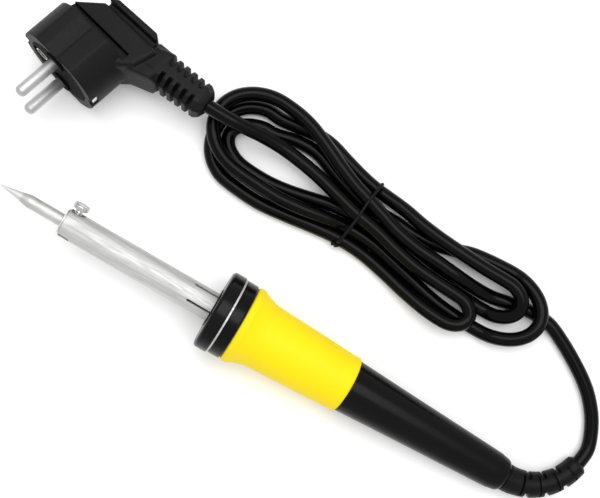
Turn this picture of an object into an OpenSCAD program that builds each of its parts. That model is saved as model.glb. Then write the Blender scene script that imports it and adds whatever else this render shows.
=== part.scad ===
/* [Tip] */
// Diameter of the copper tip's rod
tip_d = 5.4; // [4:0.1:6]
// Whole length of the tip
tip_length = 80; // [70:1:81]
// Length of the cone at the tip's free end
tip_cone = 12.8; // [8:0.1:18]

/* [Barrel] */
// Outer diameter of the steel barrel
barrel_d = 12.0; // [11.5:0.1:12.5]
// Wall of the barrel
barrel_wall = 0.55; // [0.4:0.05:0.6]
// Distance from the tip's point to the front ring
ring_front = 28; // [25:0.5:30]
// Thickness of the front ring
ring_thick = 0.9; // [0.6:0.1:1.2]
// Number of vent slots round the barrel's hot end
vents = 5; // [3:1:7]
// Width of a vent slot
vent_w = 1.0; // [0.6:0.1:1.4]

/* [Clamp screw] */
// Distance from the tip's point to the screw's axis
screw_s = 31.7; // [31.5:0.1:33]
// Turn of the screw's axis away from straight up, about the iron's axis
screw_turn = 79; // [60:1:90]
// Diameter of the screw's thread
screw_d = 3.0; // [2.5:0.1:3.5]
// Diameter of the screw's head
screw_head_d = 6.5; // [5:0.1:7]
// Height of the screw's head
screw_head_h = 2.1; // [1.5:0.1:2.5]

/* [Collar and grip] */
// Distance from the tip's point to the collar's front face
cap_front = 96; // [95:0.5:97]
// Thickness of the front cap
cap_thick = 5.8; // [5:0.1:6]
// Radius of the front cap
cap_r = 16.7; // [15.5:0.1:16.8]
// Thickness of the steel flange plate
plate_thick = 0.7; // [0.5:0.1:1]
// Radius of the grip's lip
lip_r = 16.4; // [16.3:0.1:17]
// Distance from the tip's point to the grip's lip
lip_s = 110.5; // [110:0.5:111]
// Radius of the grip's neck behind the lip
grip_neck_r = 13.6; // [13.2:0.1:14]
// Distance from the tip's point to the grip's rear end
grip_end = 158; // [156:1:160]

/* [Handle] */
// Distance from the tip's point to the handle's rear end
handle_end = 232; // [228:1:234]
// Radius of the handle where it leaves the grip
handle_r = 11.1; // [10.8:0.1:11.2]
// Radius of the handle at its rear end
handle_end_r = 6.1; // [5.9:0.1:6.4]

/* [Cord] */
// Diameter of the cord
cord_d = 5.8; // [5.4:0.1:6.2]
// Sides of the cord's tube
cord_sides = 10; // [8:1:12]
// Radius of the bend relief where it leaves the handle
boot_r = 5.5; // [5.2:0.1:5.8]

/* [Plug] */
// Diameter of the plug's round face
plug_d = 38; // [37:0.5:39]
// Depth of the plug's round part
plug_depth = 19; // [18.5:0.5:20]
// Diameter of a plug pin
pin_d = 4.8; // [4:0.8:4.8]
// Length of a plug pin in front of the face
pin_length = 19; // [18:0.5:19]
// Distance between the two pins
pin_spacing = 19; // [18:0.5:19]
// Tilt of the resting plug that lifts its cord side
plug_roll = 6.5; // [5:0.5:8]
// Tilt of the resting plug that lifts its pins
plug_pitch = 12.5; // [10:0.5:14]

/* [Hidden] */
$fn = 72;
far = 60;

// The iron rests on the grip's lip and on the shoulder at the rear of the handle, so its axis slopes
shoulder_s = handle_end - 4.5;
shoulder_r = handle_end_r + 1.4;
tilt = atan((lip_r - shoulder_r) / (shoulder_s - lip_s));
lift = lip_s * sin(tilt) + lip_r * cos(tilt);
middle_x = (handle_end * cos(tilt) + handle_end_r * sin(tilt)) / 2;

// Stations along the iron's axis, from the tip's point
barrel_front = ring_front + ring_thick;
plate_front = cap_front + cap_thick;
plate_back = plate_front + plate_thick;
flange_back = plate_back + 5.1;
barrel_back = plate_back + 0.6;
barrel_r = barrel_d / 2;
barrel_in = barrel_r - barrel_wall;
holder_head_back = 37.5;
holder_back = 84;
holder_r = 3.8;
mica_r = 4.0;
winding_r = 4.55;
winding_wire_r = 0.3;
winding_turns = 12;
winding_pitch = 3;
wrap_in = 5.1;
mica_slip = 0.08;
heater_front = 42;
heater_back = 84.5;
insulator_front = 98;
lead_y = 2.6;
lead_r = 0.4;
lead_joint_r = 0.6;
sleeving_r = 0.9;
cavity_r = 8.6;
cavity_taper = 152;
cavity_end = 218;
cavity_end_r = 5;
block_front = 124;
block_back = 138;
block_half_w = 6.6;
block_half_h = 4;
tube_r = 2;
tube_bore = 1.2;
terminal_screw_r = 1.1;
terminal_screw_h = 3.1;
terminal_inset = 4;
core_r = 0.8;
sheath_front = 202;
clamp_s = 207;
clamp_half_l = 2.5;
clamp_half_w = 4.5;
clamp_half_h = 2.9;
clamp_gap = 1;
clamp_bite = 0.6;
clamp_screw_y = 3.65;
clamp_screw_r = 0.6;
boot_root = 224;
boot_bore = 4.2;
fit = 0.05;

// Screws that hold the flange plate to the handle
flange_screw_count = 3;
flange_screw_at = 12.4;
flange_screw_r = 1.25;
flange_head_r = 2.2;
flange_head_h = 1.4;
// Earth tag behind the flange plate, and the rivet's hole in it
tag_top = -6;
tag_bottom = -8.3;
tag_w = 4;
tag_thick = 0.8;
tag_hole_z = -7.1;
tag_hole_r = 0.7;

// Half the cord's thickness, which is also its height where it lies on the table
cord_r = cord_d / 2;

// Route of the cord from the bend relief to the hank
lead_route = [[140, 19.5, 4.4], [140.8, 27, 3.2], [137, 36.5, cord_r], [131.5, 44, cord_r],
    [125.5, 49.5, cord_r], [117.5, 54.8, cord_r], [109, 59.5, cord_r], [101, 62.8, cord_r],
    [94, 63.2, cord_r]];
// Centre line of the bend relief
boot_route = [[119.5, 0.1, 6.8], [125.5, 1.6, 6.3], [130.8, 4.6, 5.9], [135, 8.8, 5.4],
    [138, 13.8, 4.9], [140, 19.5, 4.4]];
boot_radii = [5.5, 5.3, 5.1, 4.8, 4.5, 4.1];
// Route of the cord from the plug to the top of the hank
plug_route = [[-62.5, 67.7, 19.7], [-53.5, 67.6, 18.9], [-45, 68.2, 16.2], [-36, 69, 13],
    [-27, 68.9, 10.4], [-17.5, 67.8, 9]];

// The hank: a lobe on each side of the tie, as [x, y] and radius
hank_h = 2 * cord_d;
left_lobe = [-38.4, 66];
left_lobe_r = 23;
right_lobe = [77.6, 58.2];
right_lobe_r = 19.4;
tie_x = 11;
tie_y = 62.4;
tie_half = 16;
tie_w = 2.4;
tie_thick = 1.2;

// Where the plug lies, and the angle of its cord side
plug_x = -119.5;
plug_y = 49.6;
plug_turn = -15.6;
neck_turn = 7.5;
flat_q = 16.5;
key_half_w = 2;
key_depth = 1.6;
// The lowest corner of the tilted round part touches the table
flat_c = sqrt(pow(plug_d / 2, 2) - pow(flat_q, 2));
plug_z = plug_depth * sin(plug_pitch)
    + (flat_c * sin(plug_roll) + flat_q * cos(plug_roll)) * cos(plug_pitch);
insert_r = 14.7;
insert_depth = 15;
rim_r = 4.6;
rim_h = 0.8;
earth_c = -10;
earth_rim_r = 4.5;
earth_tube_r = 3;
earth_bore_r = 2.45;
pin_root_r = 2;
pin_nose_r = 1.8;
housing_half = 10.4;
// Outline of the housing behind the round front, from its rear corner round the grip ridge to the neck
housing_outline = [[-15.5, 17], [-14.1, 22.2], [-5.1, 30.9], [-4.8, 33], [-3.6, 34.6], [-1.9, 35.4],
    [8.2, 35.9], [18, 36.3], [20.4, 35.2], [28.5, 36.6], [31, 29], [31, 21.7], [25, 20.8],
    [21, 20.5], [18, 19.4], [16.5, 17]];
// Ribbed relief of the plug: where it starts and ends, as [width, thickness]
relief_start = [24.5, 28.9, 0];
relief_length = 25.7;
relief_root = [14.6, 15];
relief_tail = [13.2, 13.4];
relief_corner_r = 4;
relief_slots = 5;
relief_slot_pitch = 3.6;
relief_slot_w = 1.4;
relief_first_slot = 5.6;
relief_spine = 3;
strap_w = 4.2;
strap_thick = 1;

function unit(v) = v / norm(v);
// Direction of a route at one of its points
function heading(p, i) = unit(p[min(i + 1, len(p) - 1)] - p[max(i - 1, 0)]);
// One ring of points round a route, square to it
function ring(c, dir, r, n) = let (side = unit(cross(dir, [0, 0, 1])), up = cross(side, dir))
    [for (k = [0 : n - 1]) c + r * (cos(360 * k / n) * side + sin(360 * k / n) * up)];

// A tube swept along a route, with one radius for each point
module swept(route, radii, n) {
    rings = [for (i = [0 : len(route) - 1]) each ring(route[i], heading(route, i), radii[i], n)];
    last = (len(route) - 1) * n;
    walls = [for (i = [0 : len(route) - 2], k = [0 : n - 1])
        let (a = i * n + k, b = i * n + (k + 1) % n) each [[a, b, b + n], [a, b + n, a + n]]];
    front = [[for (k = [0 : n - 1]) n - 1 - k]];
    back = [[for (k = [0 : n - 1]) last + k]];
    polyhedron(rings, concat(walls, front, back), convexity = 6);
}
module even_tube(route, r, n) swept(route, [for (p = route) r], n);

// Lays the iron down: its own X axis runs from the tip's point to the tail
module iron_frame() translate([-middle_x, 0, lift]) rotate([0, tilt, 0]) children();
// Turns a profile of [radius, station] points about the iron's axis
module turned(profile) rotate([0, 90, 0]) rotate_extrude() polygon(profile);
module rod(from, to, r) translate([from, 0, 0]) rotate([0, 90, 0]) cylinder(h = to - from, r = r);
module sleeve(from, to, r_out, r_in) difference() {
    rod(from, to, r_out);
    rod(from - 1, to + 1, r_in);
}
// Points of an arc in a profile, from one angle to another
function arc(r, s, radius, a0, a1, n = 8) =
    [for (k = [0 : n]) let (a = a0 + (a1 - a0) * k / n) [r + radius * cos(a), s + radius * sin(a)]];

// Lays the plug down: X to the cord side, Y behind the face, Z along the line of the pins
module plug_frame() translate([plug_x, plug_y, plug_z]) rotate([0, 0, plug_turn])
    rotate([-plug_pitch, 0, 0]) rotate([0, -plug_roll, 0]) children();
// A cylinder along the plug's depth
module plug_rod(c, q, from, to, r) translate([c, from, q]) rotate([-90, 0, 0])
    cylinder(h = to - from, r = r);

// Copper rod with a pointed, tinned end; it slides in the tip holder
module soldering_tip() {
    r = tip_d / 2;
    nose_r = 0.35;
    edge = 0.5;
    color([0.78, 0.78, 0.76]) iron_frame() turned(concat([[0, 0]], arc(0, nose_r, nose_r, -90, -10, 4),
        [[r - 0.15, tip_cone - edge], [r, tip_cone], [r, tip_length - edge],
        [r - edge, tip_length], [0, tip_length]]));
}

module screw_frame() translate([screw_s, 0, 0]) rotate([-screw_turn, 0, 0]) children();
screw_end = tip_d / 2 + 0.12;
screw_head_at = barrel_r + 1.6;

// Slotted screw that holds the tip
module clamp_screw() {
    drive_w = 0.8;
    drive_depth = 1;
    color([0.72, 0.72, 0.74]) iron_frame() screw_frame() difference() {
        union() {
            translate([0, 0, screw_end]) cylinder(h = screw_head_at - screw_end, d = screw_d);
            translate([0, 0, screw_head_at]) cylinder(h = screw_head_h, d = screw_head_d);
        }
        translate([-far / 2, -drive_w / 2, screw_head_at + screw_head_h - drive_depth])
            cube([far, drive_w, far]);
    }
}

// Rolled steel ring that closes the barrel's front
module front_ring() {
    r_out = barrel_r - 0.1;
    r_in = 3.6;
    edge = 0.3;
    bead = 0.4;
    color([0.8, 0.8, 0.8]) iron_frame() turned(concat([[r_in, barrel_front], [r_in, ring_front + edge],
        [r_in + edge, ring_front]], arc(r_out - bead, ring_front + bead, bead, -90, 0, 5),
        [[r_out, barrel_front]]));
}

// A slot with round ends, cut through the wall on one side of the barrel
module wall_slot(length, width) {
    for (x = [-1, 1]) translate([x * (length - width) / 2, 0, 0]) cylinder(h = far, d = width);
    translate([-(length - width) / 2, -width / 2, 0]) cube([length - width, width, far]);
}

// Steel barrel round the heater, with a slot for the screw, a front notch and vent slots at the collar
module barrel_tube() {
    vent_front = 85;
    vent_length = 13;
    first_vent = 53;
    screw_slot = [7, 4.5];
    front_notch = [6, 3.4];
    front_notch_s = 31;
    front_notch_turn = 72;
    color([0.74, 0.74, 0.73]) iron_frame() difference() {
        sleeve(barrel_front, barrel_back, barrel_r, barrel_in);
        screw_frame() wall_slot(screw_slot[0], screw_slot[1]);
        translate([front_notch_s, 0, 0]) rotate([front_notch_turn, 0, 0])
            wall_slot(front_notch[0], front_notch[1]);
        for (i = [0 : vents - 1]) translate([vent_front + vent_length / 2, 0, 0])
            rotate([-first_vent - 360 / vents * i, 0, 0]) wall_slot(vent_length, vent_w);
    }
}

// Steel sleeve that takes the tip; its thick front end is tapped for the screw
module tip_holder() {
    color([0.6, 0.58, 0.55]) iron_frame() difference() {
        union() {
            rod(barrel_front, holder_head_back, barrel_in);
            rod(holder_head_back, holder_back, holder_r);
        }
        rod(barrel_front - 1, tip_length + 1.5, tip_d / 2 + fit);
        screw_frame() cylinder(h = far, r = screw_d / 2 + fit);
    }
}

// Mica sheet rolled on the tip holder under the winding
module inner_mica() {
    color([0.85, 0.75, 0.5]) iron_frame() sleeve(heater_front, heater_back, mica_r, holder_r);
}

// Flat resistance winding on the mica
module heating_winding() {
    steps = 10;
    start = heater_front + winding_pitch;
    helix = [for (k = [0 : winding_turns * steps]) let (a = 360 * k / steps)
        [start + winding_pitch * k / steps, winding_r * cos(a), winding_r * sin(a)]];
    color([0.45, 0.43, 0.42]) iron_frame() even_tube(helix, winding_wire_r, 5);
}

// Mica sheet rolled over the winding, inside the barrel
module outer_mica() {
    color([0.85, 0.75, 0.5]) iron_frame() sleeve(heater_front, heater_back, barrel_in - mica_slip, wrap_in);
}

// Ceramic bush that holds the heater's leads at the back of the barrel
module rear_insulator() {
    color([0.93, 0.91, 0.86]) iron_frame() difference() {
        rod(insulator_front, barrel_back, barrel_in);
        for (y = [-1, 1]) translate([0, y * lead_y, 0]) rod(insulator_front - 1, barrel_back + 1, lead_r);
    }
}

// The heater's two leads, from the winding to the terminals
module heater_leads() {
    color([0.7, 0.7, 0.68]) iron_frame() for (y = [-1, 1]) {
        translate([0, y * lead_y, 0]) rod(heater_back + 2, block_front + 6, lead_r);
        translate([heater_back + 2, y * lead_y, 0]) sphere(r = lead_joint_r, $fn = 16);
    }
}

// Glass fibre sleeving on the leads inside the handle
module lead_sleeves() {
    color([0.9, 0.9, 0.85]) iron_frame() for (y = [-1, 1]) translate([0, y * lead_y, 0])
        sleeve(barrel_back, block_front, sleeving_r, lead_r);
}

// Places the screws of the flange plate round the iron's axis
module round_flange() for (i = [0 : flange_screw_count - 1])
    rotate([60 + 360 / flange_screw_count * i, 0, 0]) translate([0, 0, flange_screw_at]) children();

// Steel plate at the barrel's back, held between the cap and the handle
module flange_plate() {
    color([0.82, 0.82, 0.8]) iron_frame() difference() {
        rod(plate_front, plate_back, cap_r - 0.4);
        rod(plate_front - 1, plate_back + 1, barrel_r);
        round_flange() rod(plate_front - 1, plate_back + 1, flange_screw_r);
    }
}

module flange_screws() {
    color([0.7, 0.7, 0.7]) iron_frame() round_flange() {
        rod(plate_front - flange_head_h, plate_front, flange_head_r);
        rod(plate_front, flange_back - 1, flange_screw_r);
    }
}

// Black heat-resistant cap in front of the flange plate
module front_cap() {
    edge = 1.6;
    boss_r = 8.2;
    boss_h = 0.5;
    color([0.08, 0.08, 0.08]) iron_frame() difference() {
        turned(concat([[barrel_r + 0.05, plate_front], [barrel_r + 0.05, cap_front - boss_h],
            [boss_r - 0.3, cap_front - boss_h], [boss_r, cap_front]],
            arc(cap_r - edge, cap_front + edge, edge, -90, 0),
            [[cap_r, plate_front - 0.3], [cap_r - 0.3, plate_front]]));
        round_flange() rod(plate_front - flange_head_h - 0.4, plate_front + 1, flange_head_r + 0.3);
    }
}

// Earth tag riveted to the back of the flange plate
module earth_tag() {
    color([0.8, 0.7, 0.4]) iron_frame() difference() {
        translate([plate_back, -tag_w / 2, tag_bottom]) cube([tag_thick, tag_w, tag_top - tag_bottom]);
        translate([0, 0, tag_hole_z]) rod(plate_back - 1, plate_back + 2, tag_hole_r);
    }
}

// Outline of the handle's moulding, from the flange to the tail
under_grip_r = 11.2;
handle_outline = [[cap_r - 0.5, plate_back], [cap_r - 0.5, flange_back - 0.4],
    [cap_r - 0.9, flange_back], [under_grip_r, flange_back], [under_grip_r - 0.1, grip_end],
    [handle_r, grip_end], [shoulder_r, shoulder_s], [handle_end_r + 1, handle_end - 1.8],
    [handle_end_r + 0.6, handle_end - 0.7], [handle_end_r, handle_end]];

// Black handle moulding with its cavity for the terminals and the cord
module handle_shell() {
    color([0.06, 0.06, 0.06]) iron_frame() difference() {
        turned(concat([[0, plate_back]], handle_outline, [[0, handle_end]]));
        turned([[0, plate_back - 1], [cavity_r, plate_back - 1], [cavity_r, cavity_taper],
            [cavity_end_r, cavity_end], [cavity_end_r, boot_root + 2], [0, boot_root + 2]]);
        rod(boot_root, handle_end + 1, boot_bore);
        round_flange() rod(plate_back - 1, flange_back - 1, flange_screw_r);
    }
}

// Yellow grip sleeve, waisted behind its lip
module grip_sleeve() {
    front = flange_back;
    bore = under_grip_r;
    color([0.98, 0.88, 0.08]) iron_frame() turned(concat([[bore, front], [lip_r - 0.9, front]],
        arc(lip_r - 1.6, lip_s - 1.1, 1.6, -50, 25, 5),
        [[lip_r - 1.05, lip_s + 2], [lip_r - 1.85, lip_s + 4.2], [lip_r - 2.45, lip_s + 6.2],
        [grip_neck_r, lip_s + 8.5], [13.15, 128], [12.65, 140], [12.15, 150], [11.95, grip_end - 3.5],
        [11.75, grip_end - 1.6], [11.45, grip_end - 0.5], [handle_r, grip_end]]));
}

// The two screw places along a terminal tube
module at_terminal_screws() for (s = [block_front + terminal_inset, block_back - terminal_inset])
    translate([s, 0, 0]) children();

// Ceramic block between the heater's leads and the cord's cores
module terminal_block() {
    color([0.92, 0.9, 0.84]) iron_frame() difference() {
        translate([block_front, -block_half_w, -block_half_h])
            cube([block_back - block_front, 2 * block_half_w, 2 * block_half_h]);
        for (y = [-1, 1]) translate([0, y * lead_y, 0]) {
            rod(block_front - 1, block_back + 1, tube_r);
            at_terminal_screws() cylinder(h = far, r = terminal_screw_r);
        }
    }
}

// Brass tubes in the block
module terminal_tubes() {
    color([0.8, 0.65, 0.3]) iron_frame() for (y = [-1, 1]) translate([0, y * lead_y, 0]) difference() {
        rod(block_front, block_back, tube_r);
        rod(block_front - 1, block_back + 1, tube_bore);
        at_terminal_screws() cylinder(h = far, r = terminal_screw_r);
    }
}

module terminal_screws() {
    drive_w = 0.4;
    drive_depth = 0.6;
    color([0.75, 0.75, 0.75]) iron_frame() for (y = [-1, 1]) translate([0, y * lead_y, core_r + 0.1])
        at_terminal_screws() difference() {
            cylinder(h = terminal_screw_h, r = terminal_screw_r);
            translate([-far / 2, -drive_w / 2, terminal_screw_h - drive_depth]) cube([far, drive_w, far]);
        }
}

// The two mains cores run straight from the sheath to the terminals
module mains_core(side) iron_frame() {
    even_tube([[block_back - 5, side * lead_y, 0], [block_back + 6, side * lead_y, 0],
        [190, side * lead_y, 0], [sheath_front - 3, side * 1.4, 0.4], [sheath_front, side * 1.1, 0.6]],
        core_r, 8);
}
module core_live() {
    color([0.4, 0.22, 0.1]) mains_core(1);
}
module core_neutral() {
    color([0.1, 0.3, 0.75]) mains_core(-1);
}

// The earth core passes under the block to the tag
module core_earth() {
    color([0.4, 0.65, 0.15]) iron_frame() even_tube([[plate_back + 0.8, 0, -7.1], [112, 0, -6.6],
        [122, 0, -5.6], [150, 0, -5.2], [190, 0, -3], [sheath_front - 4, 0, -1.6],
        [sheath_front, 0, -1.4]], core_r, 8);
}

// The cord's sheath inside the handle, up to the bend relief
module cord_sheath_end() {
    color([0.05, 0.05, 0.05]) iron_frame() rod(sheath_front, boot_root, cord_r);
}

// Clamp bars that grip the sheath
module cord_clamp() {
    color([0.15, 0.15, 0.15]) iron_frame() difference() {
        translate([clamp_s, 0, 0]) cube(2 * [clamp_half_l, clamp_half_w, clamp_half_h], center = true);
        rod(clamp_s - 4, clamp_s + 4, cord_r - clamp_bite);
        translate([clamp_s, 0, 0]) cube([far, far, clamp_gap], center = true);
        for (y = [-1, 1]) translate([clamp_s, y * clamp_screw_y, 0])
            cylinder(h = far, r = clamp_screw_r, center = true);
    }
}
module cord_clamp_screws() {
    color([0.7, 0.7, 0.7]) iron_frame() for (y = [-1, 1])
        translate([clamp_s, y * clamp_screw_y, 0])
            cylinder(h = 2 * clamp_half_h, r = clamp_screw_r, center = true);
}

// Black rubber bend relief where the cord leaves the handle
module cord_boot() {
    color([0.05, 0.05, 0.05]) {
        iron_frame() rod(boot_root, handle_end, boot_bore);
        swept(concat([[-middle_x + handle_end * cos(tilt), 0, lift - handle_end * sin(tilt)]], boot_route),
            concat([boot_r], boot_radii), 16);
    }
}

module cord_lead_handle() {
    color([0.05, 0.05, 0.05]) even_tube(lead_route, cord_r, cord_sides);
}

// A band round the hank's waist
module tie_band() translate([tie_x - tie_w / 2, tie_y, hank_h / 2]) rotate([90, 0, 90])
    linear_extrude(tie_w) difference() {
        square([2 * tie_half, hank_h], center = true);
        square([2 * (tie_half - tie_thick), hank_h - 2 * tie_thick], center = true);
    }

// The folded cord as one solid: a wide lobe to the left of the tie and one to the right
module cord_hank() {
    color([0.05, 0.05, 0.05]) difference() {
        linear_extrude(hank_h) {
            hull() {
                translate(left_lobe) circle(r = left_lobe_r);
                translate([tie_x, tie_y]) circle(r = tie_half);
            }
            hull() {
                translate([tie_x, tie_y]) circle(r = tie_half);
                translate(right_lobe) circle(r = right_lobe_r);
            }
        }
        tie_band();
    }
}

module hank_tie() {
    color([0.1, 0.1, 0.1]) tie_band();
}

// The stretch of cord between the hank and the plug
module cord_lead_plug() {
    color([0.05, 0.05, 0.05]) even_tube(plug_route, cord_r, cord_sides);
}

// Channel for the earth strap: down both sides of the round part and across behind the insert
module strap_shape(w, thick, rim) {
    for (side = [-1, 1]) translate([side > 0 ? rim - thick : -rim, 1, -w / 2])
        cube([thick, insert_depth, w]);
    translate([-rim, insert_depth, -w / 2]) cube([2 * rim, 1, w]);
}
strap_rim = plug_d / 2 - 0.8;

// Lays out the plug's relief: its own X axis runs along it to the cord
module relief_frame() translate(relief_start) rotate([0, 0, neck_turn]) children();
// One rounded cross-section of the plug's relief
module relief_section(size) rotate([0, 90, 0]) linear_extrude(0.5) offset(r = relief_corner_r, $fn = 32)
    square([size[1] - 2 * relief_corner_r, size[0] - 2 * relief_corner_r], center = true);

// Black moulded plug body: round front, housing with a grip ridge, ribbed relief to the side
module plug_body() {
    color([0.05, 0.05, 0.05]) plug_frame() difference() {
        union() {
            intersection() {
                plug_rod(0, 0, 0, plug_depth, plug_d / 2);
                translate([-far, 0, -flat_q]) cube([2 * far, far, 2 * flat_q]);
            }
            translate([0, 0, -housing_half]) linear_extrude(2 * housing_half) polygon(housing_outline);
            relief_frame() hull() {
                relief_section(relief_root);
                translate([relief_length, 0, 0]) relief_section(relief_tail);
            }
        }
        plug_rod(0, 0, -1, insert_depth, insert_r);
        strap_shape(strap_w, strap_thick, strap_rim);
        for (side = [-1, 1]) translate([side > 0 ? strap_rim : -far, -1, -strap_w / 2 - 0.4])
            cube([far - strap_rim, insert_depth + 2, strap_w + 0.8]);
        for (side = [-1, 1]) translate([-key_half_w, -1, side > 0 ? flat_q - key_depth : -far])
            cube([2 * key_half_w, plug_depth + 2, far - flat_q + key_depth]);
        relief_frame() for (i = [0 : relief_slots - 1], side = [0, 1]) mirror([0, side, 0])
            translate([relief_first_slot + relief_slot_pitch * i, relief_spine, -far / 2])
                cube([relief_slot_w, far, far]);
    }
}

// Insert that holds the pins in the plug's face
module plug_insert() {
    color([0.1, 0.1, 0.1]) plug_frame() difference() {
        union() {
            plug_rod(0, 0, 0, insert_depth, insert_r);
            for (q = [-1, 1]) plug_rod(0, q * pin_spacing / 2, -rim_h, 0, rim_r);
        }
        for (q = [-1, 1]) plug_rod(0, q * pin_spacing / 2, -2, insert_depth - 2, pin_root_r);
        plug_rod(earth_c, 0, -1, rim_h, earth_rim_r);
        plug_rod(earth_c, 0, -1, insert_depth + 1, earth_tube_r);
    }
}

// One pin: a thick rod with a round end in front of the face, a thinner root inside
module plug_pin(q) plug_frame() translate([0, 0, q]) {
    translate([0, -pin_length, 0]) rotate([-90, 0, 0]) rotate_extrude() polygon(concat([[0, 0]],
        arc(pin_d / 2 - pin_nose_r, pin_nose_r, pin_nose_r, -90, 0),
        [[pin_d / 2, pin_length - rim_h], [pin_root_r, pin_length - rim_h],
        [pin_root_r, pin_length + insert_depth - 2], [0, pin_length + insert_depth - 2]]));
}
module plug_pin_live() {
    color([0.78, 0.78, 0.76]) plug_pin(pin_spacing / 2);
}
module plug_pin_neutral() {
    color([0.78, 0.78, 0.76]) plug_pin(-pin_spacing / 2);
}

module plug_earth_strap() {
    color([0.8, 0.75, 0.6]) plug_frame() strap_shape(strap_w, strap_thick, strap_rim);
}

// Earth contact for a socket that has its own earth pin
module plug_earth_socket() {
    color([0.8, 0.7, 0.4]) plug_frame() difference() {
        plug_rod(earth_c, 0, 0.2, insert_depth, earth_tube_r);
        plug_rod(earth_c, 0, 0, insert_depth - 1.5, earth_bore_r);
    }
}

soldering_tip();
clamp_screw();
front_ring();
barrel_tube();
tip_holder();
inner_mica();
heating_winding();
outer_mica();
rear_insulator();
heater_leads();
lead_sleeves();
flange_plate();
flange_screws();
front_cap();
earth_tag();
handle_shell();
grip_sleeve();
terminal_block();
terminal_tubes();
terminal_screws();
core_live();
core_neutral();
core_earth();
cord_sheath_end();
cord_clamp();
cord_clamp_screws();
cord_boot();
cord_lead_handle();
cord_hank();
hank_tie();
cord_lead_plug();
plug_body();
plug_insert();
plug_pin_live();
plug_pin_neutral();
plug_earth_strap();
plug_earth_socket();
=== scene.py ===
"""Looks of the soldering iron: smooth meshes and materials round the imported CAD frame.

Lengths named here are in millimetres and are turned into metres by MM. The iron's own X axis runs from
the tip's point to its tail; the plug's own X runs to its cord side, Y behind its face, Z along its pins.
"""
import math

import bpy
import bmesh
from mathutils import Matrix, Vector


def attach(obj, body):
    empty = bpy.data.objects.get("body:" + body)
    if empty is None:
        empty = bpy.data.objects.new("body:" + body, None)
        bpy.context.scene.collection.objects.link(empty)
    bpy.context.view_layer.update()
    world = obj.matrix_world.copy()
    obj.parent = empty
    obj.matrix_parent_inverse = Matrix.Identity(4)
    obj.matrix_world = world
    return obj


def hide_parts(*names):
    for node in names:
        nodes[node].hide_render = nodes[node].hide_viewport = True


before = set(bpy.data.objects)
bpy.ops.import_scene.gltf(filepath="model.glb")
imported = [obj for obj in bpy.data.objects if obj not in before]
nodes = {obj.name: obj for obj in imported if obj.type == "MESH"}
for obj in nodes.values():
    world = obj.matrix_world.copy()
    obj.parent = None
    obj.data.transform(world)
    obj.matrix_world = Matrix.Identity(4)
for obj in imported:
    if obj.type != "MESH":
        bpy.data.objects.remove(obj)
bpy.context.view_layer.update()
MM = 0.001

# ---------------------------------------------------------------- driving sizes, as the CAD part has them
TIP_R, TIP_LENGTH, TIP_CONE = 2.7, 80, 12.8
BARREL_R, RING_FRONT, RING_THICK = 6.0, 28, 0.9
SCREW_S, SCREW_TURN, SCREW_R, HEAD_R, HEAD_H = 31.7, 79, 1.5, 3.25, 2.1
CAP_FRONT, CAP_THICK, CAP_R, PLATE_THICK = 96, 5.8, 16.7, 0.7
LIP_R, LIP_S, GRIP_END = 16.4, 110.5, 158
HANDLE_R, HANDLE_END, HANDLE_END_R = 11.1, 232, 6.1
SHOULDER_R, SHOULDER_S = HANDLE_END_R + 1.4, HANDLE_END - 4.5
CORD_R = 2.9
PLUG_R, PLUG_DEPTH, FLAT_Q = 19, 19, 16.5
PIN_R, PIN_LENGTH, PIN_HALF_SPACING = 2.4, 19, 9.5
PLUG_AT, PLUG_TURN, PLUG_PITCH, PLUG_ROLL = (-119.5, 49.6), -15.6, 12.5, 6.5

tilt = math.atan((LIP_R - SHOULDER_R) / (SHOULDER_S - LIP_S))
lift = LIP_S * math.sin(tilt) + LIP_R * math.cos(tilt)
middle_x = (HANDLE_END * math.cos(tilt) + HANDLE_END_R * math.sin(tilt)) / 2
IRON = Matrix.Translation((-middle_x * MM, 0, lift * MM)) @ Matrix.Rotation(tilt, 4, "Y")

roll, pitch = math.radians(PLUG_ROLL), math.radians(PLUG_PITCH)
flat_c = math.sqrt(PLUG_R**2 - FLAT_Q**2)
flat_edge_z = flat_c * math.sin(roll) + FLAT_Q * math.cos(roll)
plug_z = PLUG_DEPTH * math.sin(pitch) + flat_edge_z * math.cos(pitch)
PLUG = (Matrix.Translation((PLUG_AT[0] * MM, PLUG_AT[1] * MM, plug_z * MM))
        @ Matrix.Rotation(math.radians(PLUG_TURN), 4, "Z")
        @ Matrix.Rotation(-pitch, 4, "X") @ Matrix.Rotation(-roll, 4, "Y"))

# ---------------------------------------------------------------- camera: straight down, rolled 30 degrees
CAMERA_AT = (-2.4, 37.5, 440)
CAMERA_ROLL = 30.45
CAMERA_LENS = 63.9
camera_data = bpy.data.cameras.new("camera")
camera_data.lens = CAMERA_LENS
camera_data.sensor_width = 36
camera = bpy.data.objects.new("camera", camera_data)
camera.location = [v * MM for v in CAMERA_AT]
camera.rotation_euler = (0, 0, math.radians(CAMERA_ROLL))
bpy.context.scene.collection.objects.link(camera)
bpy.context.scene.camera = camera


# ---------------------------------------------------------------- mesh helpers
def shown(name, mesh):
    """A new object for a mesh, in the scene."""
    obj = bpy.data.objects.new(name, mesh)
    bpy.context.scene.collection.objects.link(obj)
    return obj


def smooth_shaded(obj, angle=35):
    """Smooth shading, with edges sharper than the angle kept sharp."""
    obj.data.polygons.foreach_set("use_smooth", [True] * len(obj.data.polygons))
    obj.data.set_sharp_from_angle(angle=math.radians(angle))
    return obj


def mesh_object(name, verts, faces, place, angle=35):
    """An object from vertices in millimetres in a local frame, laid by the matrix place."""
    mesh = bpy.data.meshes.new(name)
    mesh.from_pydata([place @ (Vector(v) * MM) for v in verts], [], faces)
    work = bmesh.new()
    work.from_mesh(mesh)
    bmesh.ops.recalc_face_normals(work, faces=work.faces)
    work.to_mesh(mesh)
    work.free()
    return smooth_shaded(shown(name, mesh), angle)


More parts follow.
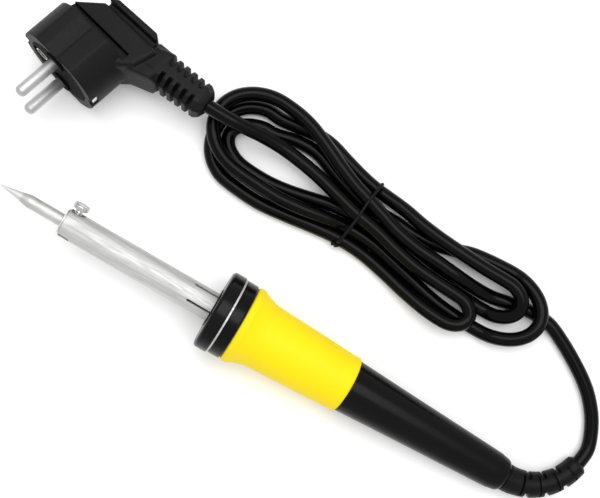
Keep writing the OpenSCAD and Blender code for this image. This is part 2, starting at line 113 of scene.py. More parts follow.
def catmull(points, steps):
    """A smooth curve through the points, with so many steps between two of them."""
    points = [Vector(p) for p in points]
    out = []
    for i in range(len(points) - 1):
        a, b, c, d = (points[max(i - 1, 0)], points[i], points[i + 1], points[min(i + 2, len(points) - 1)])
        for k in range(steps):
            t = k / steps
            out.append(0.5 * (2 * b + (c - a) * t + (2 * a - 5 * b + 4 * c - d) * t**2
                              + (3 * b - a - 3 * c + d) * t**3))
    return out + [points[-1]]


def arc(r, s, radius, a0, a1, n=8):
    """Points of an arc in a profile of (radius, station)."""
    angles = [math.radians(a0 + (a1 - a0) * k / n) for k in range(n + 1)]
    return [(r + radius * math.cos(a), s + radius * math.sin(a)) for a in angles]


def turned(name, profile, place=IRON, around=128, angle=35):
    """A closed profile of (radius, station) points turned about the local X axis."""
    verts, rings = [], []
    for r, s in profile:
        if r < 1e-6:
            rings.append([len(verts)])
            verts.append((s, 0, 0))
            continue
        rings.append(list(range(len(verts), len(verts) + around)))
        verts += [(s, r * math.cos(2 * math.pi * k / around), r * math.sin(2 * math.pi * k / around))
                  for k in range(around)]
    faces = []
    on_axis = profile[0][0] < 1e-6 and profile[-1][0] < 1e-6
    pairs = list(zip(rings, rings[1:] + rings[:1]))[:len(rings) - (1 if on_axis else 0)]
    for one, two in pairs:
        if len(one) == 1 and len(two) == 1:
            continue
        for k in range(around):
            n = (k + 1) % around
            if len(one) == 1:
                faces.append((one[0], two[n], two[k]))
            elif len(two) == 1:
                faces.append((one[k], one[n], two[0]))
            else:
                faces.append((one[k], one[n], two[n], two[k]))
    return mesh_object(name, verts, faces, place, angle)


def sweep_frames(points):
    """Tangent, side and up at each point of a route."""
    frames = []
    for i, p in enumerate(points):
        ahead = (points[min(i + 1, len(points) - 1)] - points[max(i - 1, 0)]).normalized()
        side = ahead.cross(Vector((0, 0, 1))).normalized()
        frames.append((p, ahead, side, side.cross(ahead)))
    return frames


def applied(obj):
    """Turns an object's modifiers into its mesh."""
    graph = bpy.context.evaluated_depsgraph_get()
    mesh = bpy.data.meshes.new_from_object(obj.evaluated_get(graph))
    obj.modifiers.clear()
    obj.data = mesh
    return obj


def convex(points):
    """The convex solid round some points, as a bmesh."""
    work = bmesh.new()
    for p in points:
        work.verts.new(p)
    result = bmesh.ops.convex_hull(work, input=work.verts)
    spare = [v for v in result["geom_interior"] if isinstance(v, bmesh.types.BMVert)]
    bmesh.ops.delete(work, geom=spare, context="VERTS")
    return work


def solid(points, name="solid"):
    """A convex solid as an object, in millimetres, for joining and cutting."""
    work = convex(points)
    mesh = bpy.data.meshes.new(name)
    work.to_mesh(mesh)
    work.free()
    return shown(name, mesh)


def prism(outline, low, high, axis):
    """An outline of points pulled along an axis ("y" or "z") from low to high, as an object."""
    put = (lambda a, b, h: (a, h, b)) if axis == "y" else (lambda a, b, h: (a, b, h))
    n = len(outline)
    verts = [put(a, b, h) for h in (low, high) for a, b in outline]
    faces = [tuple(range(n)), tuple(range(2 * n - 1, n - 1, -1))]
    faces += [(k, k + n, (k + 1) % n + n, (k + 1) % n) for k in range(n)]
    mesh = bpy.data.meshes.new("prism")
    mesh.from_pydata(verts, [], faces)
    work = bmesh.new()
    work.from_mesh(mesh)
    bmesh.ops.recalc_face_normals(work, faces=work.faces)
    work.to_mesh(mesh)
    work.free()
    return shown("prism", mesh)


def block(x, y, z):
    """A box between pairs of limits."""
    return solid([(a, b, c) for a in x for b in y for c in z], "block")


def combined(target, tools, operation):
    """Joins or cuts the target with each tool, and removes the tools."""
    for tool in tools:
        step = target.modifiers.new("step", "BOOLEAN")
        step.operation = operation
        step.solver = "EXACT"
        step.object = tool
        applied(target)
        mesh = tool.data
        bpy.data.objects.remove(tool)
        bpy.data.meshes.remove(mesh)
    return target


def moulded(obj, voxel, rounds):
    """Gives a joined solid the soft edges of a moulding: voxel remesh, then smoothing."""
    remesh = obj.modifiers.new("remesh", "REMESH")
    remesh.mode = "VOXEL"
    remesh.voxel_size = voxel
    remesh.use_smooth_shade = True
    soften = obj.modifiers.new("soften", "SMOOTH")
    soften.factor = 0.5
    soften.iterations = rounds
    return applied(obj)


def placed(obj, place):
    """Moves a mesh in millimetres to its place in metres."""
    obj.data.transform(place @ Matrix.Scale(MM, 4))
    return obj


# ---------------------------------------------------------------- materials
def finish_of(name, color, vary=0.12, rough=0.45, rough_vary=0.1, grain=900.0, bump=0.15, metallic=0.0,
              streak=None, specular=0.5, blotch=40.0):
    """A procedural material: broad colour variation, a fine grain in bump and roughness.

    streak=(x, y, z) stretches the grain along the iron, for drawn or brushed metal."""
    mat = bpy.data.materials.new(name)
    mat.use_nodes = True
    tree = mat.node_tree
    bsdf = tree.nodes["Principled BSDF"]
    bsdf.inputs["Metallic"].default_value = metallic
    bsdf.inputs["Specular IOR Level"].default_value = specular
    coords = tree.nodes.new("ShaderNodeTexCoord")
    mapping = tree.nodes.new("ShaderNodeMapping")
    mapping.inputs["Rotation"].default_value = (0, -tilt if streak else 0, 0)
    mapping.inputs["Scale"].default_value = streak or (1, 1, 1)
    tree.links.new(coords.outputs["Object"], mapping.inputs["Vector"])

    fine = tree.nodes.new("ShaderNodeTexNoise")
    fine.inputs["Scale"].default_value = grain
    fine.inputs["Detail"].default_value = 4
    tree.links.new(mapping.outputs["Vector"], fine.inputs["Vector"])
    broad = tree.nodes.new("ShaderNodeTexNoise")
    broad.inputs["Scale"].default_value = blotch
    broad.inputs["Detail"].default_value = 3
    tree.links.new(mapping.outputs["Vector"], broad.inputs["Vector"])

    ramp = tree.nodes.new("ShaderNodeValToRGB")
    ramp.color_ramp.elements[0].position = 0.3
    ramp.color_ramp.elements[1].position = 0.7
    ramp.color_ramp.elements[0].color = [c * (1 - vary) for c in color] + [1]
    ramp.color_ramp.elements[1].color = [min(c * (1 + vary), 1) for c in color] + [1]
    tree.links.new(broad.outputs["Fac"], ramp.inputs["Fac"])
    tree.links.new(ramp.outputs["Color"], bsdf.inputs["Base Color"])

    spread = tree.nodes.new("ShaderNodeMapRange")
    spread.inputs["From Min"].default_value = 0.3
    spread.inputs["From Max"].default_value = 0.7
    spread.inputs["To Min"].default_value = max(rough - rough_vary, 0.02)
    spread.inputs["To Max"].default_value = min(rough + rough_vary, 1)
    tree.links.new(fine.outputs["Fac"], spread.inputs["Value"])
    tree.links.new(spread.outputs["Result"], bsdf.inputs["Roughness"])

    relief = tree.nodes.new("ShaderNodeBump")
    relief.inputs["Strength"].default_value = bump
    relief.inputs["Distance"].default_value = 0.0001
    tree.links.new(fine.outputs["Fac"], relief.inputs["Height"])
    tree.links.new(relief.outputs["Normal"], bsdf.inputs["Normal"])
    return mat


def along_iron(mat, stations):
    """Lays a colour over the material's own by the place along the iron: (station, tint) pairs."""
    tree = mat.node_tree
    bsdf = tree.nodes["Principled BSDF"]
    under = bsdf.inputs["Base Color"].links[0].from_socket
    coords = tree.nodes.new("ShaderNodeTexCoord")
    mapping = tree.nodes.new("ShaderNodeMapping")
    mapping.vector_type = "TEXTURE"
    mapping.inputs["Location"].default_value = IRON.translation
    mapping.inputs["Rotation"].default_value = (0, tilt, 0)
    tree.links.new(coords.outputs["Object"], mapping.inputs["Vector"])
    split = tree.nodes.new("ShaderNodeSeparateXYZ")
    tree.links.new(mapping.outputs["Vector"], split.inputs["Vector"])
    first, last = stations[0][0] * MM, stations[-1][0] * MM
    spread = tree.nodes.new("ShaderNodeMapRange")
    spread.inputs["From Min"].default_value = first
    spread.inputs["From Max"].default_value = last
    tree.links.new(split.outputs["X"], spread.inputs["Value"])
    ramp = tree.nodes.new("ShaderNodeValToRGB")
    while len(ramp.color_ramp.elements) < len(stations):
        ramp.color_ramp.elements.new(0.5)
    for element, (s, tint) in zip(ramp.color_ramp.elements, stations):
        element.position = (s * MM - first) / (last - first)
        element.color = tuple(tint) + (1,)
    tree.links.new(spread.outputs["Result"], ramp.inputs["Fac"])
    mix = tree.nodes.new("ShaderNodeMix")
    mix.data_type = "RGBA"
    mix.blend_type = "MULTIPLY"
    mix.inputs["Factor"].default_value = 1
    tree.links.new(under, mix.inputs["A"])
    tree.links.new(ramp.outputs["Color"], mix.inputs["B"])
    tree.links.new(mix.outputs["Result"], bsdf.inputs["Base Color"])
    return mat


DRAWN = (0.05, 1, 1)
steel = finish_of("drawn_steel", (0.6, 0.6, 0.595), vary=0.12, rough=0.66, rough_vary=0.12, grain=1400,
                  bump=0.3, metallic=1, streak=DRAWN, blotch=900)
ring_steel = finish_of("rolled_steel", (0.72, 0.72, 0.71), rough=0.3, metallic=1, grain=900, bump=0.1)
screw_steel = finish_of("plated_steel", (0.6, 0.6, 0.61), vary=0.15, rough=0.3, metallic=1, grain=2500,
                        bump=0.2, blotch=300)
dark_steel = finish_of("scaled_steel", (0.1, 0.095, 0.09), vary=0.25, rough=0.5, metallic=1, blotch=200)
tinned = along_iron(finish_of("tinned_copper", (0.72, 0.72, 0.7), vary=0.08, rough=0.58, rough_vary=0.12,
                              grain=1200, bump=0.3, metallic=1, streak=(0.3, 1, 1), blotch=250),
                    [(0, (1.0, 1.0, 1.0)), (9.0, (1.0, 1.0, 1.0)), (10.2, (0.78, 0.78, 0.78)),
                     (29, (0.86, 0.86, 0.85))])
mica = finish_of("mica", (0.62, 0.48, 0.24), vary=0.3, rough=0.35, blotch=150)
wire = finish_of("resistance_wire", (0.3, 0.28, 0.26), rough=0.5, metallic=1)
ceramic = finish_of("ceramic", (0.82, 0.79, 0.72), vary=0.06, rough=0.6, bump=0.2)
brass = finish_of("brass", (0.72, 0.52, 0.2), rough=0.35, metallic=1)
sleeving = finish_of("glass_sleeving", (0.1, 0.09, 0.075), rough=0.8, grain=3500, bump=0.6)
cap_black = finish_of("cap_black", (0.003, 0.003, 0.003), rough=0.24, rough_vary=0.04, bump=0.08,
                      specular=0.12)
handle_black = finish_of("handle_black", (0.002, 0.002, 0.0022), rough=0.24, rough_vary=0.04, bump=0.06,
                         grain=1300, specular=0.12)
yellow = finish_of("yellow_rubber", (0.84, 0.65, 0.004), vary=0.02, rough=0.5, rough_vary=0.07, grain=1800,
                   bump=0.12, specular=0.15)
cord_black = finish_of("cord_black", (0.0012, 0.0012, 0.0014), rough=0.2, rough_vary=0.04, grain=1500,
                       bump=0.06, specular=0.1)
relief_black = finish_of("relief_black", (0.003, 0.003, 0.003), rough=0.42, bump=0.15, specular=0.12)
plug_black = finish_of("plug_black", (0.005, 0.005, 0.005), vary=0.25, rough=0.5, rough_vary=0.1,
                       grain=2200, bump=0.6, specular=0.14)
insert_black = finish_of("insert_black", (0.003, 0.003, 0.003), rough=0.7, bump=0.08, specular=0.04)
pin_metal = finish_of("pin_metal", (0.5, 0.5, 0.5), vary=0.04, rough=0.5, rough_vary=0.06, metallic=1,
                      grain=1600, bump=0.04)
earth_metal = finish_of("earth_metal", (0.72, 0.7, 0.62), rough=0.3, metallic=1)
brown = finish_of("core_brown", (0.13, 0.05, 0.02), rough=0.4)
blue = finish_of("core_blue", (0.02, 0.08, 0.4), rough=0.4)
green = finish_of("core_green_yellow", (0.2, 0.35, 0.02), vary=0.6, rough=0.4, blotch=250)


def dress(obj, mat):
    """One material on the whole of an object."""
    obj.data.materials.clear()
    obj.data.materials.append(mat)
    return obj


def keep(mat, *names):
    """CAD nodes that stay as they are, with a better material."""
    for name in names:
        dress(nodes[name], mat)


def piece(obj, mat, body, slot, *replaced):
    """A made piece: its material, the body it moves with and the CAD nodes it stands for; the slot argument
    is not used.
    """
    dress(obj, mat)
    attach(obj, body)
    if replaced:
        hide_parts(*replaced)
    return obj


# ---------------------------------------------------------------- cord: one curve, bend relief to plug
# Points in millimetres; both ends repeat the CAD routes.
LEAD = [(140, 19.5, 4.4), (140.8, 27, 3.2), (137, 36.5, 2.9), (131.5, 44, 2.9), (125.5, 49.5, 2.9),
        (117.5, 54.8, 2.9), (109, 59.5, 2.9), (101, 62.8, 2.9), (92, 63.2, 2.9), (83, 61.8, 2.9),
        (75, 60.3, 3.2), (67, 60, 5.6), (58.5, 60.4, 8), (48.8, 61.2, 8.7), (39, 61.8, 8.7),
        (28.1, 63.6, 8.7), (19.2, 66.4, 8.6), (11, 69, 8.5)]
TO_PLUG = [(9.7, 61.5, 8.7), (0, 63.9, 8.7), (-9, 66.2, 8.7), (-17.5, 67.8, 9), (-27, 68.9, 10.4),
           (-36, 69, 13), (-45, 68.2, 16.2), (-53.5, 67.6, 18.9), (-62.5, 67.7, 19.7)]
# Each fold of the hank: the strand out from the tie, the end turn as an ellipse (centre, radii, first
# and last angle, heights at its first, middle and last point), and the strand back to the tie.
FOLDS = [
    ([(3.8, 71.2, 8.6), (-5.1, 74.8, 8.7), (-14.1, 79, 8.7), (-24.8, 83.2, 8.7)],
     ((-38.5, 68.6), (20.8, 16.6), 80, 262, (8.7, 8.7, 8.6)),
     [(-29, 51.2, 8.4), (-19.7, 51, 8.2), (-10, 52, 7.6), (0, 53.6, 5.4), (10, 54.8, 2.9)]),
    ([(22, 54.4, 2.9), (32, 52.4, 2.9), (42, 50, 2.9), (52, 47.6, 2.9), (62, 46.2, 2.9)],
     ((77, 59.4), (19.6, 13.8), -92, 92, (2.9, 8.9, 3.2)),
     [(61, 71.8, 2.9), (52, 69, 2.9), (43, 67, 2.9), (34, 66.4, 2.9), (26, 66.8, 2.9), (12, 66.6, 2.9)]),
    ([(5, 67.9, 2.9), (-5, 71, 2.9), (-15.5, 74.8, 2.9), (-25, 75, 2.9)],
     ((-36.5, 63.8), (14.6, 9.2), 82, 262, (2.9, 2.9, 2.9)),
     [(-28, 54.4, 2.9), (-18, 55.6, 2.9), (-8, 57.8, 2.9), (1, 59.8, 2.9), (12, 60.7, 2.9)]),
    ([(26, 60.2, 2.9), (40, 58.6, 2.9), (52, 56.2, 2.9), (61, 54.8, 2.9), (69, 54, 2.9)],
     ((76.5, 61.3), (10.4, 7.4), -96, 96, (2.9, 8.8, 8.7)),
     [(66, 68.7, 8.7), (57.3, 69.1, 8.7), (46, 69.8, 8.7), (36, 71, 7.8), (26, 73, 5.4), (12, 74.6, 2.9)]),
    ([(4, 76.2, 2.9), (-4, 78.4, 2.9), (-13, 81, 2.9), (-21, 81.4, 2.9), (-29, 80.4, 2.9)],
     ((-40, 63.1), (17.3, 16.9), 76, 262, (2.9, 2.9, 2.9)),
     [(-27.8, 45.2, 2.9), (-15.1, 46.4, 2.9), (-2.9, 48.1, 2.9), (8, 49.2, 2.9)]),
    ([(20, 48.8, 2.9), (32, 46.6, 3.2), (42, 44.2, 5), (51.4, 42.4, 7.4), (57.5, 41.7, 8.4)],
     ((62, 47.6), (8.6, 6), -88, 92, (8.7, 8.7, 8.7)),
     [(52, 54.1, 8.7), (41.5, 54.9, 8.7), (31.1, 56.9, 8.7), (20.5, 59.6, 8.7)]),
]


def end_turn(centre, radii, first, last, heights, steps=8):
    """Points of a fold's end turn; a fold to the left turns one way and one to the right the other."""
    points = []
    for k in range(steps + 1):
        t = k / steps
        a = math.radians(first + (last - first) * t)
        z = heights[0] * (1 - t)**2 + 2 * (2 * heights[1] - (heights[0] + heights[2]) / 2) * t * (1 - t) \
            + heights[2] * t**2
        points.append((centre[0] + radii[0] * math.cos(a), centre[1] + radii[1] * math.sin(a), z))
    return points


route = list(LEAD)
for out, turn, back in FOLDS:
    route += out + end_turn(*turn) + back
route += TO_PLUG
route = [Vector(p) * MM for p in route]
CORD_STEPS = 7
line = catmull(route, CORD_STEPS)
# The smooth curve swings a little past its points, so it is kept on the table
line = [Vector((p.x, p.y, max(p.z, CORD_R * MM))) for p in line]

curve = bpy.data.curves.new("mains_cord", "CURVE")
curve.dimensions = "3D"
curve.bevel_depth = CORD_R * MM
curve.bevel_resolution = 7
curve.use_fill_caps = True
spline = curve.splines.new("POLY")
spline.points.add(len(line) - 1)
for point, at in zip(spline.points, line):
    point.co = (*at, 1)
spline.use_smooth = True
cord = bpy.data.objects.new("mains_cord", curve)
bpy.context.scene.collection.objects.link(cord)
piece(cord, cord_black, "iron", "black_cord", "cord_lead_handle", "cord_hank", "cord_lead_plug")

# ---------------------------------------------------------------- tie: coated wire round the hank's waist
TIE_AT = (11, 62.4)
TIE_HALF, TIE_TOP, TIE_R = 14.8, 12.2, 0.7


def tie_line():
    """One turn of wire round the strands, slanted, with both ends standing out at the lower edge."""
    slant = 3.2
    loop = []
    for k in range(25):
        a = math.radians(200 - 360 * k / 24)
        y = TIE_HALF * math.copysign(abs(math.cos(a))**0.7, math.cos(a))
        z = TIE_TOP / 2 + (TIE_TOP / 2 - TIE_R - 0.2) * math.copysign(abs(math.sin(a))**0.6, math.sin(a))
        loop.append((TIE_AT[0] + slant * math.cos(a) / 2 + 1.2 * k / 24, TIE_AT[1] + y, z))
    edge = TIE_AT[1] - TIE_HALF
    start = [(TIE_AT[0] - 3.4, edge - 1.7, 4.6), (TIE_AT[0] - 2.4, edge - 1, 5)]
    end = [(TIE_AT[0] - 0.8, edge - 0.9, 6.4), (TIE_AT[0] - 2.2, edge - 1.9, 7)]
    return [Vector(p) * MM for p in start + loop + end]


tie_curve = bpy.data.curves.new("wire_tie", "CURVE")
tie_curve.dimensions = "3D"
tie_curve.bevel_depth = TIE_R * MM
tie_curve.bevel_resolution = 4
tie_curve.use_fill_caps = True
tie_points = catmull(tie_line(), 5)
tie_spline = tie_curve.splines.new("POLY")
tie_spline.points.add(len(tie_points) - 1)
for point, at in zip(tie_spline.points, tie_points):
    point.co = (*at, 1)
tie = bpy.data.objects.new("wire_tie", tie_curve)
bpy.context.scene.collection.objects.link(tie)
piece(tie, relief_black, "iron", "black_tie", "hank_tie")

# ---------------------------------------------------------------- bend relief at the handle
BOOT_ROUTE = [(119.5, 0.1, 6.8), (125.5, 1.6, 6.3), (130.8, 4.6, 5.9), (135, 8.8, 5.4), (138, 13.8, 4.9),
              (140, 19.5, 4.4)]
BOOT_START = (HANDLE_END * math.cos(tilt) - middle_x, 0, lift - HANDLE_END * math.sin(tilt))


def step(x, edge, soft):
    """Rises from 0 to 1 round the edge."""
    t = min(max((x - edge) / soft + 0.5, 0), 1)
    return t * t * (3 - 2 * t)


def boot():
    """Tapered rubber sleeve with staggered slots: wide ones in both sides, narrow ones above and below."""
    start_r, end_r, core_r = 5.75, 4.5, 3.5
    # Two families of slots: the wide ones in the sides, the narrow ones above and below
    families = [(0, 3, 10.4, 7.2, 1.7, 1.0), (90, 4, 7.6, 7.3, 0.8, 0.5)]
    half_span = 62
    line = catmull([BOOT_START] + BOOT_ROUTE, 30)
    frames = sweep_frames(line)
    total = sum((b - a).length for a, b in zip(line, line[1:]))
    around = 120
    verts, s = [], 0.0
    for i, (p, ahead, side, up) in enumerate(frames):
        if i:
            s += (line[i] - line[i - 1]).length
        plain = start_r + (end_r - start_r) * s / total
        plain -= 0.5 * (1 - step(s, 0.7, 0.8)) + 0.9 * step(s, total - 0.5, 1.2)
        for k in range(around):
            a = 2 * math.pi * k / around
            depth = 0.0
            for facing, slots, first, pitch, width, deep in families:
                off = abs(((math.degrees(a) - facing + 90) % 180) - 90)
                across = 1 - step(off, half_span - 8, 6)
                for n in range(slots):
                    along = 1 - step(abs(s - first - pitch * n), width / 2, 0.3)
                    depth = max(depth, across * along * deep)
            r = plain - (plain - core_r) * depth
            verts.append(p + r * (math.cos(a) * side + math.sin(a) * up))
    faces = []
    for i in range(len(line) - 1):
        for k in range(around):
            a, b = i * around + k, i * around + (k + 1) % around
            faces.append((a, b, b + around, a + around))
    faces.append(tuple(range(around)))
    faces.append(tuple(range(len(verts) - around, len(verts))))
    return mesh_object("cord_bend_relief", verts, faces, Matrix.Identity(4), angle=50)


relief = piece(boot(), relief_black, "iron", "black_relief", "cord_boot")

# ---------------------------------------------------------------- plug
RELIEF_START, RELIEF_LENGTH, NECK_TURN = (24.5, 28.9), 26.2, 7.5
RELIEF = (Matrix.Translation((*RELIEF_START, 0)) @ Matrix.Rotation(math.radians(NECK_TURN), 4, "Z"))


def round_front():
    """The plug's round front: a disc with two flats, each with a groove that ramps up on one side."""
    groove_half, groove_depth, ramp_end = 2.0, 1.2, -5.0
    corner, steps = math.asin(FLAT_Q / PLUG_R), 24
    side = [(PLUG_R * math.cos(corner * k / steps), PLUG_R * math.sin(corner * k / steps))
            for k in range(steps + 1)]
    upper = side + [(groove_half, FLAT_Q), (groove_half, FLAT_Q - groove_depth), (ramp_end, FLAT_Q)]
    upper += [(-c, q) for c, q in side[::-1]]
    return prism(upper + [(-c, -q) for c, q in upper[1:-1]], 0, PLUG_DEPTH, "y")


def relief_ring(along, width, thick, chamfer):
    """Corners of one cross-section of the relief, at a place along it."""
    half_b, half_q = width / 2, thick / 2
    corners = [(half_b - chamfer, half_q), (half_b, half_q - chamfer)]
    signs = (-1, 1)
    return [RELIEF @ Vector((along, sb * b, sq * q)) for b, q in corners for sb in signs for sq in signs]


def relief_block(x, b, q=(-12, 12)):
    """A box laid out along the relief."""
    return solid([RELIEF @ Vector((i, j, k)) for i in x for j in b for k in q])


def slab(outline, half, inset, rise=3):
    """A plate whose upper and lower edges are rounded inwards in a few steps."""
    middle = [sum(p[i] for p in outline) / len(outline) for i in (0, 1)]
    points = []
    for k in range(rise + 1):
        a = math.radians(90 * k / rise)
        shift, q = inset * (1 - math.cos(a)), half - inset * (1 - math.sin(a))
        for c, b in outline:
            away = math.hypot(c - middle[0], b - middle[1])
            keep_part = 1 - shift / away
            at = [m + (v - m) * keep_part for m, v in zip(middle, (c, b))]
            points += [(*at, side * q) for side in (-1, 1)]
    return solid(points)


def plug_housing():
    """The moulded body behind the round front, with the grip ridge and the ribbed relief."""
    body = round_front()
    rear = [(-15.5, 16), (-14.1, 22.2), (-5.1, 30.9), (21, 31.2), (24, 30.6), (22, 20.6), (17.8, 19),
            (16.5, 15)]
    under = [(-4.9, 28), (-4.6, 33), (-2, 34.9), (18, 35.8), (20.2, 34.5), (22, 28)]
    ridge = [(-4.9, 32.9), (-4.6, 33.6), (-2.1, 35.4), (8.2, 35.9), (18.2, 36.3), (20, 35.1), (20, 33.8)]
    root = [(12, 24), (20, 33.2), (24, 35.2), (28.5, 36.6), (30.2, 36.4), (30.2, 22), (25, 21), (19, 20)]
    elbow = [(10, 14), (17.6, 17.4), (18.2, 19), (20.2, 20.3), (24, 21.2), (30.2, 22), (30, 27), (14, 26)]
    end = RELIEF_LENGTH
    ribs = relief_ring(-3, 14.8, 16.4, 3.2) + relief_ring(end - 5, 13.1, 13.6, 2.8)
    tail = relief_ring(end - 5.4, 13.4, 13.8, 2.8) + relief_ring(end - 2.8, 13.2, 13.4, 3)
    tail += relief_ring(end - 0.9, 11.2, 11.4, 3) + relief_ring(end, 8.6, 8.8, 2.6)
    parts = [slab(rear, 10.6, 2.0), slab(under, 7.4, 1.0), slab(ridge, 10.4, 0.6), slab(root, 8.4, 3.2),
             slab(elbow, 8.6, 3.2), solid(ribs), solid(tail)]
    combined(body, parts, "UNION")

    band = (PLUG_DEPTH, PLUG_DEPTH + 3.4)
    cutters = [block((-22, 17.2), band, (side * 7.6, side * 20)) for side in (-1, 1)]
    slots, pitch, first, half_w, spine = 5, 3.6, 6.3, 0.8, 1.75
    for n in range(slots):
        x = (first + pitch * n - half_w, first + pitch * n + half_w)
        cutters += [relief_block(x, (side * spine, side * 14)) for side in (-1, 1)]
    insert_r, insert_depth = 14.65, 15
    cutters.append(prism([(insert_r * math.cos(math.radians(t)), insert_r * math.sin(math.radians(t)))
                          for t in range(0, 360, 4)], -1, insert_depth, "y"))
    strap_rim, strap_half = PLUG_R - 0.8, 2.5
    cutters += [block((side * (strap_rim - 1), side * 22), (-1, 3.4), (-strap_half, strap_half))
                for side in (-1, 1)]
    combined(body, cutters, "DIFFERENCE")
    body.name = "plug_moulding"
    moulded(body, 0.34, 3)
    return placed(body, PLUG)


plug_body = plug_housing()
piece(plug_body, plug_black, "iron", "black_plug", "plug_body")
smooth_shaded(plug_body, 60)


def relief_core():
    """The round core of the plug's ribbed relief, seen at the bottom of its slots."""
    core_r, steps = 4.4, 48
    ring = [(core_r * math.cos(2 * math.pi * k / steps), core_r * math.sin(2 * math.pi * k / steps))
            for k in range(steps)]
    core = prism(ring, 0, RELIEF_LENGTH - 2, "z")
    core.data.transform(RELIEF @ Matrix.Rotation(math.radians(90), 4, "Y"))
    core.name = "plug_relief_core"
    return smooth_shaded(placed(core, PLUG))


core_piece = piece(relief_core(), relief_black, "iron", "black_plug")


def pin(name, q, node):
    """One plug pin, with a rounded end and a faint step where it enters the face."""
    root_r, root_end = PIN_R - 0.12, PIN_LENGTH + 2
    profile = [(0, 0)] + arc(PIN_R - 1.9, 1.9, 1.9, -90, 0, 12)
    profile += [(PIN_R, PIN_LENGTH - 2.2), (root_r, PIN_LENGTH - 2.0), (root_r, root_end), (0, root_end)]
    turn = Matrix.Rotation(math.radians(90), 4, "Z")
    place = PLUG @ Matrix.Translation((0, -PIN_LENGTH * MM, q * MM)) @ turn
    return piece(turned(name, profile, place, around=64), pin_metal, "iron", "plated_pin", node)


pins = [pin("plug_pin_upper", PIN_HALF_SPACING, "plug_pin_live"),
        pin("plug_pin_lower", -PIN_HALF_SPACING, "plug_pin_neutral")]
keep(insert_black, "plug_insert")
keep(earth_metal, "plug_earth_strap", "plug_earth_socket")

# ---------------------------------------------------------------- handle, collar and grip
PLATE_FRONT = CAP_FRONT + CAP_THICK
PLATE_BACK = PLATE_FRONT + PLATE_THICK
FLANGE_BACK = PLATE_BACK + 5.1
UNDER_GRIP_R, CAVITY_R = 11.2, 8.6


def handle():
    """Black handle moulding, hollow, with its flange in front of the grip."""
    flange_r = CAP_R - 0.5
    tail = catmull([(HANDLE_R, GRIP_END, 0), (9.9, 181, 0), (7.9, 223, 0), (SHOULDER_R, SHOULDER_S, 0),
                    (7.1, 230.2, 0), (6.7, 231.3, 0), (HANDLE_END_R, HANDLE_END, 0)], 8)
    outer = [(CAVITY_R, PLATE_BACK), (flange_r - 0.3, PLATE_BACK)]
    outer += arc(flange_r - 0.3, PLATE_BACK + 0.3, 0.3, -90, 0, 4)
    outer += arc(flange_r - 0.6, FLANGE_BACK - 0.6, 0.6, 0, 90, 6)
    outer += [(UNDER_GRIP_R, FLANGE_BACK), (UNDER_GRIP_R - 0.1, GRIP_END - 0.1)]
    outer += [(p.x, p.y) for p in tail]
    inner = [(4.2, HANDLE_END), (4.2, 226), (5, 226), (5, 218), (CAVITY_R, 152)]
    return turned("handle_moulding", outer + inner, angle=30)


piece(handle(), handle_black, "iron", "black_handle", "handle_shell")


def grip():
    """Yellow sleeve: a rounded lip, a sweep down to the neck, and a slow taper to the tail."""
    lip = arc(LIP_R - 1.5, LIP_S - 1.2, 1.5, -95, 20, 10)
    sweep = catmull([(LIP_R - 0.15, LIP_S + 0.4, 0), (LIP_R - 1.05, LIP_S + 2, 0),
                     (LIP_R - 1.85, LIP_S + 4.2, 0), (LIP_R - 2.45, LIP_S + 6.2, 0), (13.6, LIP_S + 8.5, 0),
                     (13.15, 128, 0), (12.65, 140, 0), (12.15, 150, 0), (11.95, GRIP_END - 3.5, 0)], 8)
    rear = arc(HANDLE_R - 0.55, GRIP_END - 1.6, 1.6, 20, 90, 8)
    profile = [(UNDER_GRIP_R, FLANGE_BACK)] + lip + [(p.x, p.y) for p in sweep]
    profile += [(11.9, GRIP_END - 2.6)] + rear[1:] + [(HANDLE_R - 0.6, GRIP_END)]
    return turned("grip_sleeve_soft", profile, angle=40)


piece(grip(), yellow, "iron", "yellow_grip", "grip_sleeve")


def cap():
    """Black front cap with a rounded front edge and a low boss round the barrel."""
    edge, boss_r, boss_h = 1.6, 8.2, 0.5
    profile = [(BARREL_R + 0.05, PLATE_FRONT), (BARREL_R + 0.05, CAP_FRONT - boss_h)]
    profile += arc(boss_r - 0.3, CAP_FRONT - boss_h + 0.3, 0.3, -90, 0, 4) + [(boss_r + 0.1, CAP_FRONT)]
    profile += arc(CAP_R - edge, CAP_FRONT + edge, edge, -90, 0, 12)
    profile += arc(CAP_R - 0.3, PLATE_FRONT - 0.3, 0.3, 0, 90, 4)
    return turned("front_cap_moulding", profile, angle=40)


piece(cap(), cap_black, "iron", "black_cap", "front_cap")
keep(steel, "flange_plate")

# ---------------------------------------------------------------- barrel, tip and screw
keep(steel, "barrel_tube")


def front_ring():
    """Rolled ring: a half-round bead in front of the barrel."""
    r_out, r_in = BARREL_R - 0.05, 3.5
    half = RING_THICK / 2
    back = RING_FRONT + RING_THICK
    profile = [(r_in, back)] + arc(r_in + 0.3, RING_FRONT + 0.3, 0.3, 180, 270, 5)
    profile += arc(r_out - half, RING_FRONT + half, half, -90, 60, 12) + [(r_out - 0.35, back)]
    return turned("barrel_bead", profile, angle=40)


piece(front_ring(), ring_steel, "iron", "barrel_steel", "front_ring")


def tip():
    """Copper tip: a blunt point, a straight cone with a soft shoulder, a plain rod."""
    profile = [(0, 0)] + arc(0, 0.35, 0.35, -80, -12, 5)
    profile += [(1.38, 6.5), (2.46, TIP_CONE - 1.0), (2.64, TIP_CONE - 0.3), (TIP_R, TIP_CONE + 0.6),
                (TIP_R, TIP_LENGTH - 0.6), (TIP_R - 0.6, TIP_LENGTH), (0, TIP_LENGTH)]
    return turned("tinned_tip", profile, around=96, angle=30)


piece(tip(), tinned, "tip", "tinned_tip", "soldering_tip")

SCREW_PLACE = (IRON @ Matrix.Translation((SCREW_S * MM, 0, 0))
               @ Matrix.Rotation(math.radians(-SCREW_TURN), 4, "X"))


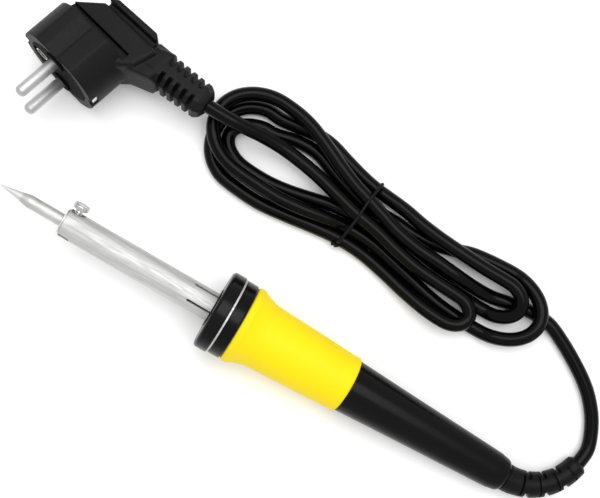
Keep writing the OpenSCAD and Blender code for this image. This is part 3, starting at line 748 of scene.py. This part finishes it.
def clamp_screw():
    """Slotted cheese-head screw with a rounded head and a turned thread."""
    head_at = BARREL_R + 1.6
    end = TIP_R + 0.12
    profile = [(0, end), (SCREW_R - 0.5, end)]
    pitch = 0.5
    turns = int((head_at - 0.3 - end - 0.5) / pitch)
    for n in range(turns):
        s = end + 0.5 + n * pitch
        profile += [(SCREW_R - 0.28, s), (SCREW_R, s + pitch * 0.5)]
    profile += [(SCREW_R - 0.28, head_at - 0.1), (SCREW_R - 0.1, head_at), (HEAD_R - 0.25, head_at)]
    profile += arc(HEAD_R - 0.25, head_at + 0.25, 0.25, -90, 0, 4)
    profile += arc(HEAD_R - 0.7, head_at + HEAD_H - 0.7, 0.7, 0, 75, 7)
    profile += [(0, head_at + HEAD_H + 0.03)]
    up = Matrix.Rotation(math.radians(-90), 4, "Y")
    screw = turned("clamp_screw_turned", profile, Matrix.Scale(1 / MM, 4) @ up, around=72, angle=30)
    slot = block((-6, 6), (-0.42, 0.42), (head_at + HEAD_H - 1.0, head_at + HEAD_H + 2))
    combined(screw, [slot], "DIFFERENCE")
    return smooth_shaded(placed(screw, SCREW_PLACE), 30)


piece(clamp_screw(), screw_steel, "screw", "plated_screw", "clamp_screw")

# ---------------------------------------------------------------- inner pieces keep their CAD shapes
keep(dark_steel, "tip_holder")
keep(mica, "inner_mica", "outer_mica")
keep(wire, "heating_winding", "heater_leads")
keep(ceramic, "rear_insulator", "terminal_block")
keep(sleeving, "lead_sleeves")
keep(brass, "terminal_tubes", "earth_tag")
keep(screw_steel, "terminal_screws", "flange_screws", "cord_clamp_screws")
keep(cap_black, "cord_clamp")
keep(brown, "core_live")
keep(blue, "core_neutral")
keep(green, "core_earth")
keep(cord_black, "cord_sheath_end")

# ---------------------------------------------------------------- floor, light and colour
FLOOR = 3.0
floor_mesh = bpy.data.meshes.new("floor")
floor_corners = [(-FLOOR, -FLOOR, 0), (FLOOR, -FLOOR, 0), (FLOOR, FLOOR, 0), (-FLOOR, FLOOR, 0)]
floor_mesh.from_pydata(floor_corners, [], [(0, 1, 2, 3)])
floor = shown("floor", floor_mesh)
floor_mat = finish_of("paper_floor", (0.96, 0.96, 0.96), vary=0.005, rough=0.9, rough_vary=0.02, bump=0.01,
                      specular=0.0)
dress(floor, floor_mat)


def softbox(name, at, aim, size, power):
    """A rectangular area light that faces a point."""
    data = bpy.data.lights.new(name, "AREA")
    data.shape = "RECTANGLE"
    data.size, data.size_y = size
    data.energy = power
    lamp = bpy.data.objects.new(name, data)
    lamp.location = at
    lamp.rotation_euler = (Vector(aim) - Vector(at)).to_track_quat("-Z", "Y").to_euler()
    bpy.context.scene.collection.objects.link(lamp)


SOFTBOX_AT, SOFTBOX_SIZE, SOFTBOX_BRIGHTNESS = (0, 0.3, 0.9), (0.9, 0.6), 3.6
softbox("overhead", SOFTBOX_AT, (0, 0.1, 0), SOFTBOX_SIZE,
        SOFTBOX_BRIGHTNESS * math.pi * SOFTBOX_SIZE[0] * SOFTBOX_SIZE[1])
world = bpy.data.worlds.new("studio")
world.use_nodes = True
world.node_tree.nodes["Background"].inputs["Color"].default_value = (1, 1, 1, 1)
world.node_tree.nodes["Background"].inputs["Strength"].default_value = 0.85
bpy.context.scene.world = world
bpy.context.scene.view_settings.view_transform = "Standard"
